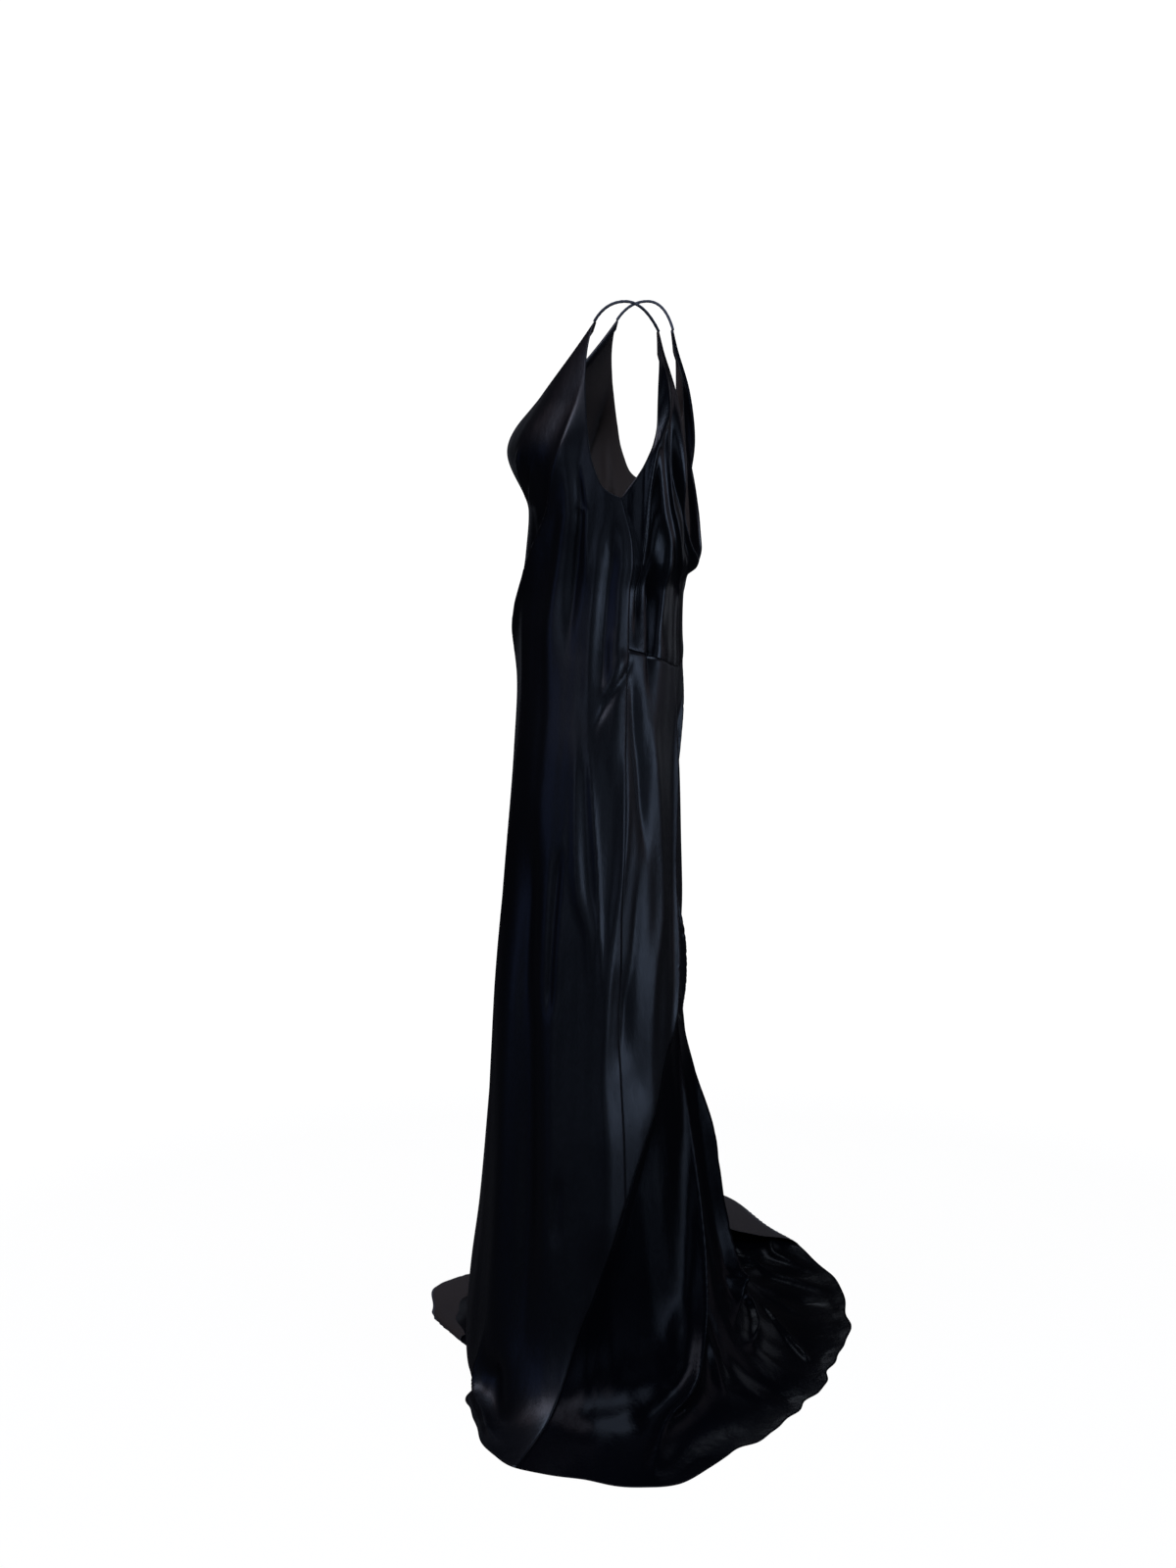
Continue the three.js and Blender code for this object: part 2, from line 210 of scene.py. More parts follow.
BACK_FOLDS = (
    (0.009, 0.0090, 0.12, 0.0, (
        (0.060, 140), (0.134, 136), (0.175, 129), (0.210, 125), (0.320, 122), (0.440, 121),
    )),
    (0.012, 0.0070, 0.50, 0.0, (
        (0.120, 134), (0.190, 130), (0.263, 134), (0.317, 141), (0.398, 143), (0.480, 142),
    )),
    (0.008, 0.0080, 0.12, 0.0, (
        (0.110, 138), (0.165, 135), (0.238, 138), (0.291, 144), (0.335, 151), (0.369, 160), (0.420, 176),
    )),
    (0.010, -0.0120, 0.40, 0.0, ((0.130, 138), (0.219, 145), (0.272, 153), (0.321, 161), (0.370, 174))),
    (0.010, -0.0120, 0.40, 0.0, ((0.320, 128), (0.397, 136), (0.445, 138), (0.520, 136))),
    (0.009, -0.0090, 0.40, 0.0, ((0.190, 129), (0.280, 126), (0.360, 124), (0.460, 124))),
)
SKIRT_FOLDS = (
    (0.012, 0.0055, 0.40, -0.3, (
        (0.530, 88), (0.611, 88), (0.727, 91), (0.780, 95), (0.832, 101), (1.000, 105),
    )),
    (0.010, -0.0040, 0.80, 0.0, ((0.560, 92), (0.660, 95), (0.750, 99), (0.830, 104))),
    (0.006, 0.0040, 0.20, 0.0, ((0.520, 93), (0.630, 99), (0.727, 105), (0.833, 108), (0.950, 109))),
    (0.014, -0.0060, 1.00, 0.0, ((0.560, 110), (0.660, 113), (0.780, 113), (0.900, 111))),
    (0.011, 0.0050, 0.50, 0.0, (
        (0.560, 121), (0.640, 123), (0.730, 122), (0.834, 116), (0.993, 110), (1.250, 106),
    )),
    (0.013, -0.0090, 0.70, 0.0, ((0.440, 118), (0.551, 128), (0.637, 135), (0.760, 141))),
    (0.014, 0.0045, 0.80, 0.0, (
        (0.500, 129), (0.574, 141), (0.675, 148), (0.797, 151), (0.912, 142), (1.120, 134),
    )),
    (0.012, -0.0050, 0.80, 0.0, ((0.720, 135), (0.840, 131), (0.950, 124), (1.030, 118))),
    (0.016, -0.0040, 1.00, 0.0, ((0.860, 120), (0.972, 127), (1.100, 132))),
    (0.020, 0.0040, 1.00, 0.0, ((0.520, 150), (0.720, 158), (0.920, 153), (1.050, 149))),
    (0.008, 0.0120, 0.20, 0.5, (
        (0.470, 160), (0.594, 169), (0.720, 172), (0.828, 171), (0.956, 160), (1.020, 154),
    )),
    (0.018, -0.0180, 0.70, 0.0, ((0.500, 176), (0.700, 182), (0.900, 182), (0.990, 180))),
    (0.008, -0.0060, 0.40, 0.0, ((0.700, 81), (0.761, 79), (0.887, 78), (0.950, 78))),
    (0.026, -0.0160, 0.80, 0.0, (
        (0.640, 54), (0.735, 56), (0.866, 60), (0.999, 64), (1.298, 66), (1.460, 66),
    )),
    (0.030, 0.0080, 1.00, 0.0, ((0.700, 40), (1.000, 47), (1.300, 50), (1.500, 50))),
    (0.030, 0.0060, 1.00, 0.0, ((0.620, 68), (0.900, 74), (1.200, 78), (1.450, 80))),
    (0.008, -0.0030, 0.60, 0.0, ((1.150, 84), (1.200, 83), (1.260, 82))),
    (0.022, 0.0060, 0.80, 0.0, ((1.000, 114), (1.127, 111), (1.208, 108), (1.300, 104))),
    (0.028, -0.0060, 1.00, 0.0, ((0.740, 16), (1.100, 20), (1.430, 22))),
    # A stitched slash on the hip, with the cloth above it eased in
    (0.0055, -0.0045, 0.20, 0.0, ((0.462, 124), (0.484, 118), (0.506, 111), (0.530, 104), (0.566, 95))),
    (0.011, 0.0045, 0.80, 0.0, ((0.450, 118), (0.484, 109), (0.525, 99))),
    (0.006, 0.0030, 0.40, 0.0, ((0.420, 108), (0.460, 108), (0.500, 109))),
)
TRAIN_FOLDS = (
    (0.022, 0.0300, 0.12, -0.2, (
        (0.900, 174), (1.098, 164), (1.275, 153), (1.380, 144), (1.452, 136), (1.528, 126), (1.580, 113),
        (1.639, 105), (1.700, 101),
    )),
    (0.030, -0.0060, 0.60, -0.5, (
        (0.980, 162), (1.078, 144), (1.154, 131), (1.233, 120), (1.314, 109), (1.400, 100), (1.500, 95),
        (1.580, 92),
    )),
    (0.014, 0.0045, 0.70, 0.0, ((1.340, 141), (1.400, 134), (1.445, 130), (1.500, 122))),
    (0.020, -0.0160, 0.80, 0.0, ((1.000, 177), (1.150, 174), (1.300, 166), (1.420, 154))),
    (0.014, 0.0070, 0.60, 0.0, ((1.320, 150), (1.417, 148), (1.481, 147), (1.600, 138))),
    (0.012, -0.0060, 0.70, 0.0, ((1.340, 156), (1.440, 157), (1.560, 148))),
    (0.016, 0.0280, 0.30, 0.0, (
        (1.000, 188), (1.131, 192), (1.234, 192), (1.330, 191), (1.422, 184), (1.463, 168),
    )),
    (0.013, 0.0150, 0.30, 0.0, (
        (1.360, 180), (1.409, 187), (1.450, 198), (1.490, 196), (1.515, 180), (1.500, 164),
    )),
    (0.014, 0.0180, 0.30, 0.0, ((1.200, 200), (1.350, 206), (1.450, 212), (1.530, 219))),
    (0.008, 0.0070, 0.20, 0.0, ((1.520, 217), (1.556, 205), (1.626, 192), (1.660, 184))),
    (0.018, 0.0090, 0.50, 0.0, ((1.460, 222), (1.550, 236), (1.620, 240))),
    (0.014, 0.0060, 0.40, 0.0, ((1.480, 232), (1.560, 222), (1.640, 214))),
    (0.020, 0.0100, 0.50, 0.0, ((1.500, 250), (1.580, 244), (1.680, 236))),
    (0.016, -0.0060, 0.80, 0.0, ((1.520, 228), (1.600, 226), (1.680, 222))),
    (0.022, 0.0220, 0.30, 0.3, ((0.980, 200), (1.150, 208), (1.350, 222), (1.500, 238), (1.620, 250))),
    (0.030, -0.0140, 1.00, 0.0, ((1.050, 214), (1.300, 230), (1.500, 250))),
    (0.022, 0.0150, 0.40, 0.0, ((1.100, 228), (1.300, 242), (1.500, 262), (1.650, 272))),
    (0.020, 0.0050, 1.00, 0.0, ((1.360, 138), (1.450, 128), (1.510, 112), (1.530, 94), (1.500, 82))),
    (0.014, 0.0080, 0.40, 0.0, ((1.620, 262), (1.645, 255), (1.656, 244), (1.693, 234))),
    (0.012, 0.0080, 0.40, 0.0, ((1.570, 250), (1.604, 240), (1.632, 234), (1.690, 226))),
    (0.012, 0.0060, 0.40, 0.0, ((1.500, 262), (1.560, 256), (1.600, 248), (1.660, 246))),
    (0.012, 0.0140, 0.30, 0.0, (
        (1.360, 47), (1.446, 42), (1.516, 41), (1.580, 44), (1.622, 50), (1.655, 60), (1.668, 68),
    )),
    (0.020, -0.0120, 1.00, 0.0, ((1.420, 52), (1.500, 51), (1.580, 56), (1.620, 63))),
    (0.018, 0.0120, 0.50, 0.0, ((1.380, 300), (1.500, 306), (1.640, 304))),
)
# Folds that cross the centre back: the soft roll of the cowl's edge from strap to strap, and the fullness
# above the yoke seam
CENTRE_FOLDS = (
    (0.018, 0.0110, 0.80, 0.0, (
        (0.060, 142), (0.090, 143.5), (0.131, 146), (0.185, 148), (0.231, 151), (0.290, 157),
        (0.330, 167), (0.345, 180), (0.330, 193), (0.290, 203), (0.231, 209), (0.185, 212), (0.131, 214),
        (0.090, 216.5), (0.060, 218),
    )),
    (0.012, 0.0035, 0.80, 0.0, (
        (0.240, 150), (0.300, 160), (0.338, 170), (0.352, 180), (0.338, 190), (0.300, 200), (0.240, 210),
    )),
    (0.016, 0.0014, 0.80, 0.0, (
        (0.438, 119), (0.448, 138), (0.467, 160), (0.475, 180), (0.467, 200), (0.448, 222), (0.438, 241),
    )),
)
# How far a mirrored fold may be moved round and down, and what share deeper or shallower it may be
MIRRORED_UNEVENLY = {"seed": 11, "angle": 3.0, "drop": 0.02, "depth": 0.25}
COURSE_STEPS = 60
COURSE_SLACK = 0.6  # how far past a step of its course a fold's nearest place may lie, in steps
FOLD_REACH = 5  # a fold is worked out this many half widths to either side
END_SHARE = 0.3  # share of its course over which a fold swells from each end

# Small waves of the hem's outline, and slow swells of the cloth
RippleWave = namedtuple("RippleWave", "pitch phase height")
HEM_RIPPLE = (
    RippleWave(11, 0.4, 0.0035),
    RippleWave(19, 1.7, 0.0025),
    RippleWave(31, 0.9, 0.0015),
)
SwellWave = namedtuple("SwellWave", "around down phase height")
CLOTH_SWELLS = (
    SwellWave(9, 3.1, 0.3, 0.0008),
    SwellWave(14, 4.3, 2.1, 0.0005),
    SwellWave(23, 3.1, 4.4, 0.0003),
    SwellWave(37, 4.9, 1.2, 0.0002),
)
SWELLS_FROM = 0.1
SWELLS_WHOLE = 0.3

# Grid cells: rows along each stretch of a panel's side line, with how much they close up towards its end
FRONT_ROWS = ((62, 0.0), (122, 0.3), (70, 0.0))
BACK_BODICE_ROWS = ((70, 0.0), (80, 0.0))
BACK_SKIRT_ROWS = 150
TRAIN_ROWS = 216
COLUMNS = {"front": 184, "back_bodice": 240, "back_skirt": 200, "train": 220}
NECK_PULL = 4.0  # keeps the V neck's shape in the rows near it
ROLL_STEPS = 6
FACING_ROWS = {"neck": 5, "cowl": 8}
NORMAL_STEP = {"angle": 0.5, "drop": 0.002}
MERGE_DISTANCE = 0.00001

# How the satin's grain lies on each panel: what it adds to the roughness, and its specular level
GRAIN = {
    "front": (0.04, 0.5),
    "back_bodice": (-0.08, 0.36),
    "back_skirt": (0.04, 0.5),
    "train": (-0.08, 0.08),
}
SPECULAR_TINT = (0.82, 0.88, 1.0, 1.0)
SHEEN_TINT = (0.75, 0.82, 1.0, 1.0)
SHEEN_ROUGHNESS = 0.4
# Slow patches in a cloth: how far its colour and its roughness go up and down, over what run of their noise
PATCHES = {"shade": 0.3, "roughness": 0.03, "run": (0.3, 0.7)}

# The straps: their highest place, how far their bending points lie towards their ends, and the rolled cord's
# lumps
STRAP_TOP = (0.122, 0.0, -0.002)
STRAP_BOW = 0.62
STRAP_STEPS = 160
STRAP_SIDES = 16
STRAP_LUMPS = {"share": 0.04, "pitch": 90}


def along(rows, columns, x_name, y_name):
    """Monotone cubic through a table's rows: the value of one column at any place in another."""
    rows = np.array(rows, float)
    x = rows[:, columns.index(x_name)]
    y = rows[:, columns.index(y_name)]
    order = np.argsort(x)
    x, y = x[order], y[order]
    secant = np.diff(y) / np.diff(x)
    slope = np.empty_like(y)
    slope[0], slope[-1] = secant[0], secant[-1]
    product = secant[:-1] * secant[1:]
    both = np.where(product > 0, secant[:-1] + secant[1:], 1.0)
    slope[1:-1] = np.where(product > 0, 2 * product / both, 0.0)

    def value(at):
        at = np.clip(at, x[0], x[-1])
        i = np.clip(np.searchsorted(x, at, side="right") - 1, 0, len(x) - 2)
        span = x[i + 1] - x[i]
        t = (at - x[i]) / span
        rise = y[i] * (1 + 2 * t) * (1 - t) ** 2 + y[i + 1] * t * t * (3 - 2 * t)
        return rise + span * (slope[i] * t * (1 - t) ** 2 - slope[i + 1] * t * t * (1 - t))

    return value


ring_front = along(RINGS, RING_COLUMNS, "drop", "front")
ring_centre = along(RINGS, RING_COLUMNS, "drop", "centre")
ring_back = along(RINGS, RING_COLUMNS, "drop", "back")
ring_side = along(RINGS, RING_COLUMNS, "drop", "side")
ring_square = along(RINGS, RING_COLUMNS, "drop", "square")
hem_reach = along(HEM, HEM_COLUMNS, "angle", "reach")
hem_lift = along(HEM, HEM_COLUMNS, "angle", "lift")
bend_drop = along(BEND, BEND_COLUMNS, "angle", "drop")
turned_length = along(TURNED_HEM, TURN_COLUMNS, "angle", "turned")


def ring_points(angle, drop):
    """Horizontal rings: a half superellipse to the front of the ring's centre, and another to its back."""
    across = np.sin(np.radians(angle))
    ahead = np.cos(np.radians(angle))
    square = ring_square(drop)
    scale = (np.abs(across) ** square + np.abs(ahead) ** square) ** (-1 / square)
    front, centre, back = ring_front(drop), ring_centre(drop), ring_back(drop)
    half = np.where(ahead > 0, centre - front, back - centre)
    return np.stack([scale * ring_side(drop) * across, centre - scale * half * ahead, -drop], axis=-1)


def hem_ripple(turn):
    """Small waves of the hem's outline: sines of uneven pitch, some millimetres high."""
    return sum(wave.height * np.sin(np.radians(turn) * wave.pitch + wave.phase) for wave in HEM_RIPPLE)


def body_points(angle, drop):
    """The body surface: rings down to the bend, then a cubic curve from their slope to the hem on the floor.

    Where the hem is turned over, the curve ends in a fold, and the rest of the cloth runs back above it."""
    angle, drop = np.broadcast_arrays(np.asarray(angle, float), np.asarray(drop, float))
    turn = np.mod(angle, 360)
    bend = bend_drop(turn)
    back = turned_length(turn)
    top = ring_points(angle, np.minimum(drop, bend))
    t = np.clip((drop - bend) / (HEM_DROP - back - bend), 0, 1)[..., None]
    slope = (ring_points(angle, bend) - ring_points(angle, bend - SLOPE_STEP)) / SLOPE_STEP
    reach = hem_reach(turn) + hem_ripple(turn)
    floor = FLOOR_Z + WALL / 2
    ahead = np.stack([np.sin(np.radians(angle)), -np.cos(np.radians(angle)), 0 * reach], axis=-1)
    hem = reach[..., None] * ahead
    hem[..., 2] = floor + hem_lift(turn)
    first = top + slope * (HEM_DROP - bend)[..., None] / 3
    second = top + (hem - top) * BEND_REACH
    second[..., 2] = floor
    points = (1 - t) ** 3 * top + 3 * t * (1 - t) ** 2 * first + 3 * t * t * (1 - t) * second + t**3 * hem
    over = np.maximum(drop - (HEM_DROP - back), 0)
    rise = TURN_HEIGHT * (1 - np.exp(-over / TURN_ROUNDING))
    points -= over[..., None] * ahead
    points[..., 2] += rise
    return points


def unit(vectors):
    """Vectors scaled to length one."""
    return vectors / np.maximum(np.linalg.norm(vectors, axis=-1, keepdims=True), 1e-12)


def normals_of(points, angle, drop):
    """Outward normals of a surface: the step down it crossed with the step round it."""
    low = np.minimum(drop + NORMAL_STEP["drop"], HEM_DROP)
    around = points(angle + NORMAL_STEP["angle"], drop) - points(angle - NORMAL_STEP["angle"], drop)
    down = points(angle, low) - points(angle, low - 2 * NORMAL_STEP["drop"])
    return unit(np.cross(down, around))


def mirrored_folds(folds):
    """The same folds on the wearer's other side, each a little moved and a little deeper or shallower."""
    draw = np.random.default_rng(MIRRORED_UNEVENLY["seed"])
    rows = []
    for width, depth, crest, lean, course in folds:
        shift = draw.uniform(-1, 1) * MIRRORED_UNEVENLY["angle"]
        slide = draw.uniform(-1, 1) * MIRRORED_UNEVENLY["drop"]
        deeper = draw.uniform(-1, 1) * MIRRORED_UNEVENLY["depth"]
        moved = [(drop + slide, 360 - angle + shift) for drop, angle in course]
        rows.append((width, depth * (1 + deeper), crest, -lean, moved))
    return rows


def smooth_course(course, steps):
    """A smooth line through a fold's course: cubic spans whose slopes come from the neighbouring points."""
    course = np.array(course, float)
    slope = np.gradient(course, axis=0)
    at = np.linspace(0, len(course) - 1, steps + 1)
    i = np.minimum(at.astype(int), len(course) - 2)
    t = (at - i)[:, None]
    return (
        course[i] * (1 + 2 * t) * (1 - t) ** 2
        + course[i + 1] * t * t * (3 - 2 * t)
        + slope[i] * t * (1 - t) ** 2
        - slope[i + 1] * t * t * (1 - t)
    )


def fold_depth(points, angle):
    """Sum of the folds: each falls off to both sides of its course, and swells from nothing at either end."""
    total = np.zeros(angle.shape)
    for fold in FOLDS:
        places = smooth_course(fold.course, COURSE_STEPS)
        path = body_points(places[:, 1], places[:, 0])
        margin = FOLD_REACH * fold.width
        near = np.all((points > path.min(axis=0) - margin) & (points < path.max(axis=0) + margin), axis=-1)
        if not near.any():
            continue
        spot = points[near]
        gap = spot[:, None] - path
        nearest = (gap**2).sum(axis=-1).argmin(axis=-1)
        step = np.gradient(path, axis=0)[nearest]
        gap = gap[np.arange(len(spot)), nearest]
        ahead = (gap * step).sum(axis=-1) / (step**2).sum(axis=-1)
        ahead = np.clip(ahead, -COURSE_SLACK, COURSE_SLACK)
        off = np.linalg.norm(gap - ahead[:, None] * step, axis=-1)
        rear = np.mod(angle[near] - places[nearest, 1] + 540, 360) > 180
        off = off / (fold.width * np.where(rear, 1 - fold.lean, 1 + fold.lean))
        run = np.clip((nearest + ahead) / COURSE_STEPS, 0, 1)
        swell = np.clip(np.minimum(run, 1 - run) / END_SHARE, 0, 1)
        swell = swell * swell * (3 - 2 * swell)
        rounded = np.sqrt(off * off + fold.crest * fold.crest) - fold.crest
        total[near] += fold.depth * swell * np.exp(-2 * rounded)
    return total


def soft_unevenness(angle, drop):
    """Slow swells of a millimetre or less, longer down the cloth than round it: sines of uneven pitch."""
    turn = np.radians(angle)
    total = sum(
        wave.height * np.sin(turn * wave.around + drop * wave.down + wave.phase) for wave in CLOTH_SWELLS
    )
    return total * np.clip((drop - SWELLS_FROM) / (SWELLS_WHOLE - SWELLS_FROM), 0, 1)


def cloth_points(angle, drop):
    """The hanging cloth: the body surface moved out along its normals by the folds, never below the floor.

    The two layers of a turned hem lie flat on each other, without folds."""
    angle, drop = np.broadcast_arrays(np.asarray(angle, float), np.asarray(drop, float))
    body = body_points(angle, drop)
    out = fold_depth(body, angle) + soft_unevenness(angle, drop)
    back = turned_length(np.mod(angle, 360))
    layered = np.clip((drop - HEM_DROP + 2 * back) / LAYER_EASE["drop"], 0, 1)
    layered = layered * np.clip(back / LAYER_EASE["turned"], 0, 1)
    out = out * (1 - layered)
    points = body + normals_of(body_points, angle, drop) * out[..., None]
    points[..., 2] = np.maximum(points[..., 2], FLOOR_Z + WALL / 2)
    return points


def grid_normals(points):
    """Outward normals of a panel's grid: rows run up the cloth, and columns round to the wearer's left."""
    return unit(np.cross(np.gradient(points, axis=1), np.gradient(points, axis=0)))


FOLDS = [
    Fold(*row)
    for row in (
        *BUST_FOLDS,
        *BACK_FOLDS,
        *SKIRT_FOLDS,
        *TRAIN_FOLDS,
        *CENTRE_FOLDS,
        *mirrored_folds(BUST_FOLDS + BACK_FOLDS + SKIRT_FOLDS),
    )
]


def line(rows, count, start, end, by="drop"):
    """Places along a border line's table, from one end to the other, evenly by drop or by angle."""
    other = "angle" if by == "drop" else "drop"
    if by == "angle":
        to_angle = along(rows, LINE_COLUMNS, "drop", "angle")
        start, end = to_angle(start), to_angle(end)
    at = np.linspace(start, end, count + 1)
    value = along(rows, LINE_COLUMNS, by, other)(at)
    return np.stack([at, value] if by == "angle" else [value, at], axis=-1)


def mirrored(places):
    """The same places on the wearer's other side."""
    return np.stack([360 - places[:, 0], places[:, 1]], axis=-1)


def over_centre_back(rows, count, start):
    """A border line from one side over the centre back to the other: the near half, and its mirror image."""
    half = line(rows, count // 2, start, rows[-1][0], by="angle")
    return np.concatenate([half, mirrored(half)[::-1][1:]])


def chain(*parts):
    """Border lines joined end to end. A part is its table, first and last drop, and (rows, closing up)."""
    lines = []
    for rows, start, end, (count, closing) in parts:
        t = np.linspace(0, 1, count + 1)
        at = start + (end - start) * ((1 + closing) * t - closing * t * t)
        lines.append(np.stack([along(rows, LINE_COLUMNS, "drop", "angle")(at), at], axis=-1))
    return np.concatenate([lines[0]] + [part[1:] for part in lines[1:]])


def blend(bottom, top, left, right, pull=1.0):
    """A panel's places: its four border lines blended, with rows from the bottom to the top.

    A pull above 1 keeps the bends of the top line near the top."""
    u = np.linspace(0, 1, len(bottom))[None, :, None]
    v = np.linspace(0, 1, len(left))[:, None, None]
    low = bottom[None] - ((1 - u) * bottom[0] + u * bottom[-1])
    high = top[None] - ((1 - u) * top[0] + u * top[-1])
    return (1 - u) * left[:, None] + u * right[:, None] + (1 - v) * low + v**pull * high


def front_places():
    """The front from hem to neck: train seam, side seam and armhole up each side."""
    columns = COLUMNS["front"]
    near = chain(
        (TRAIN_SEAM, HEM_DROP, CROSSING, FRONT_ROWS[0]),
        (SIDE_SEAM, CROSSING, SIDE_SEAM[-1][0], FRONT_ROWS[1]),
        (FRONT_ARMHOLE, FRONT_ARMHOLE[0][0], FRONT_ARMHOLE[-1][0], FRONT_ROWS[2]),
    )
    far = mirrored(near) - (360, 0)
    neck = line(FRONT_NECK, columns // 2, FRONT_NECK[0][0], FRONT_NECK[-1][0], by="angle")
    neck = np.concatenate([neck * (-1, 1), neck[::-1][1:]])
    hem = np.stack([np.linspace(far[0, 0], near[0, 0], columns + 1), np.full(columns + 1, HEM_DROP)], axis=-1)
    return blend(hem, neck, far, near, pull=NECK_PULL)


def back_bodice_places():
    """The back bodice from the yoke seam to the cowl's edge: side seam and armhole up each side."""
    columns = COLUMNS["back_bodice"]
    near = chain(
        (SIDE_SEAM, YOKE_SEAM[0][0], SIDE_SEAM[-1][0], BACK_BODICE_ROWS[0]),
        (BACK_ARMHOLE, BACK_ARMHOLE[0][0], BACK_ARMHOLE[-1][0], BACK_BODICE_ROWS[1]),
    )
    yoke_seam = over_centre_back(YOKE_SEAM, columns, YOKE_SEAM[0][0])
    cowl = over_centre_back(BACK_NECK, columns, BACK_NECK[0][0])
    return blend(yoke_seam, cowl, near, mirrored(near))


def back_skirt_places():
    """The back skirt from the train seam to the yoke seam, with a side seam up each side."""
    columns = COLUMNS["back_skirt"]
    near = line(SIDE_SEAM, BACK_SKIRT_ROWS, CROSSING, YOKE_SEAM[0][0])
    train_seam = over_centre_back(TRAIN_SEAM, columns, CROSSING)
    yoke_seam = over_centre_back(YOKE_SEAM, columns, YOKE_SEAM[0][0])
    return blend(train_seam, yoke_seam, near, mirrored(near))


def train_places():
    """The train from the hem to its point, with the lower train seam up each side."""
    columns = COLUMNS["train"]
    near = line(TRAIN_SEAM, TRAIN_ROWS, HEM_DROP, CROSSING)
    hem = np.stack(
        [np.linspace(near[0, 0], 360 - near[0, 0], columns + 1), np.full(columns + 1, HEM_DROP)], axis=-1
    )
    return blend(hem, over_centre_back(TRAIN_SEAM, columns, CROSSING), near, mirrored(near))


def border_distance(points):
    """How far each point lies from each border of its panel, measured along the grid's lines."""
    up = np.cumsum(np.linalg.norm(np.diff(points, axis=0, prepend=points[:1]), axis=-1), axis=0)
    across = np.cumsum(np.linalg.norm(np.diff(points, axis=1, prepend=points[:, :1]), axis=-1), axis=1)
    return {"bottom": up, "top": up[-1] - up, "left": across, "right": across[:, -1:] - across}


def seam_groove(points, places, edges, sizes):
    """The cloth turns in at a seam: most at the train seams, less at the yoke and sides, not at armholes."""
    drop = places[..., 1]
    side = np.where(drop > SIDE_SEAM[-1][0], sizes.side_seam_share, 0.0)
    side = np.where(drop > CROSSING, 1.0, side)
    deep = np.zeros(drop.shape)
    for edge, distance in border_distance(points).items():
        if edge in edges:
            share = side if edge in ("left", "right") else sizes.yoke_seam_share
            deep = np.maximum(deep, share * np.exp(-((distance / sizes.seam_width) ** 2)))
    moved = points - grid_normals(points) * (sizes.seam_depth * deep)[..., None]
    moved[..., 2] = np.maximum(moved[..., 2], FLOOR_Z + WALL / 2)
    return moved


def turned_in(points, roll, depth, count):
    """Rows added past the top border: the cloth rolls over the edge and runs back down its own inside."""
    out = grid_normals(points)
    edge = points[-1]
    down = unit(points[-2] - edge)
    turn = np.linspace(0, math.pi, ROLL_STEPS + 1)[1:, None, None]
    rolled = edge + roll * (np.cos(turn) - 1) * out[-1] - roll * np.sin(turn) * down
    from_edge = border_distance(points)["top"][::-1]
    inner = (points - 2 * roll * out)[::-1]
    run = np.linspace(0, depth, count + 1)[1:]
    inside = [
        [np.interp(run, from_edge[:, column], inner[:, column, axis]) for axis in range(3)]
        for column in range(len(edge))
    ]
    return np.concatenate([points, rolled, np.moveaxis(np.array(inside), 2, 0)])


def new_mesh(name, grid):
    """One mesh object from a grid of points: rows upwards, columns to the wearer's left, faces outwards."""
    rows, columns = grid.shape[:2]
    index = np.arange(rows * columns).reshape(rows, columns)
    quads = np.stack([index[:-1, :-1], index[:-1, 1:], index[1:, 1:], index[1:, :-1]], axis=-1).reshape(-1, 4)
    mesh = bpy.data.meshes.new(name)
    mesh.from_pydata(grid.reshape(-1, 3), [], quads)
    mesh.polygons.foreach_set("use_smooth", np.ones(len(quads), bool))
    lengths = np.linalg.norm(np.diff(grid, axis=0), axis=-1).mean(axis=1)
    widths = np.linalg.norm(np.diff(grid, axis=1), axis=-1).mean(axis=0)
    u = np.concatenate([[0], np.cumsum(widths)])
    v = np.concatenate([[0], np.cumsum(lengths)])
    flat = np.stack(np.meshgrid(u, v), axis=-1).reshape(-1, 2)
    layer = mesh.uv_layers.new(name="cloth")
    layer.data.foreach_set("uv", flat[quads.ravel()].astype(np.float32).ravel())
    mesh.update()
    made = bpy.data.objects.new(name, mesh)
    bpy.context.scene.collection.objects.link(made)
    return made


def closed_up(piece):
    """Merges the points that meet along a tube's or a disc's seam and at its ends or centre."""
    whole = bmesh.new()
    whole.from_mesh(piece.data)
    bmesh.ops.remove_doubles(whole, verts=whole.verts, dist=MERGE_DISTANCE)
    whole.to_mesh(piece.data)
    whole.free()


def wall(piece, sizes):
    """Gives a sheet its thickness, face outwards and reverse inwards, each with its own material."""
    thick = piece.modifiers.new("cloth_thickness", "SOLIDIFY")
    thick.thickness = sizes.cloth_thickness
    thick.offset = 0
    thick.material_offset = 1
    thick.use_quality_normals = True


def cloth_piece(name, grid, sizes, look):
    """A panel of satin: its mesh, thickness and two materials, riding on the body in its CAD node's place."""
    piece = new_mesh(name + "_satin", grid)
    wall(piece, sizes)
    piece.data.materials.append(satin_material(look, name))
    piece.data.materials.append(reverse_material(look))
    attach(piece, "root")
    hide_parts(name)
    return piece


def sewn_panel(context, name, places, seams, facing=None):
    """One panel from its places: the hanging cloth, grooved along its seams.

    A facing, as (depth, rows), is turned in past the top border."""
    sizes, look = context.scene.gown_sizes, context.scene.gown_look
    points = cloth_points(places[..., 0], places[..., 1])
    grid = seam_groove(points, places, seams, sizes)
    if facing:
        depth, rows = facing
        grid = turned_in(grid, sizes.edge_roll, depth, rows)
    return cloth_piece(name, grid, sizes, look)


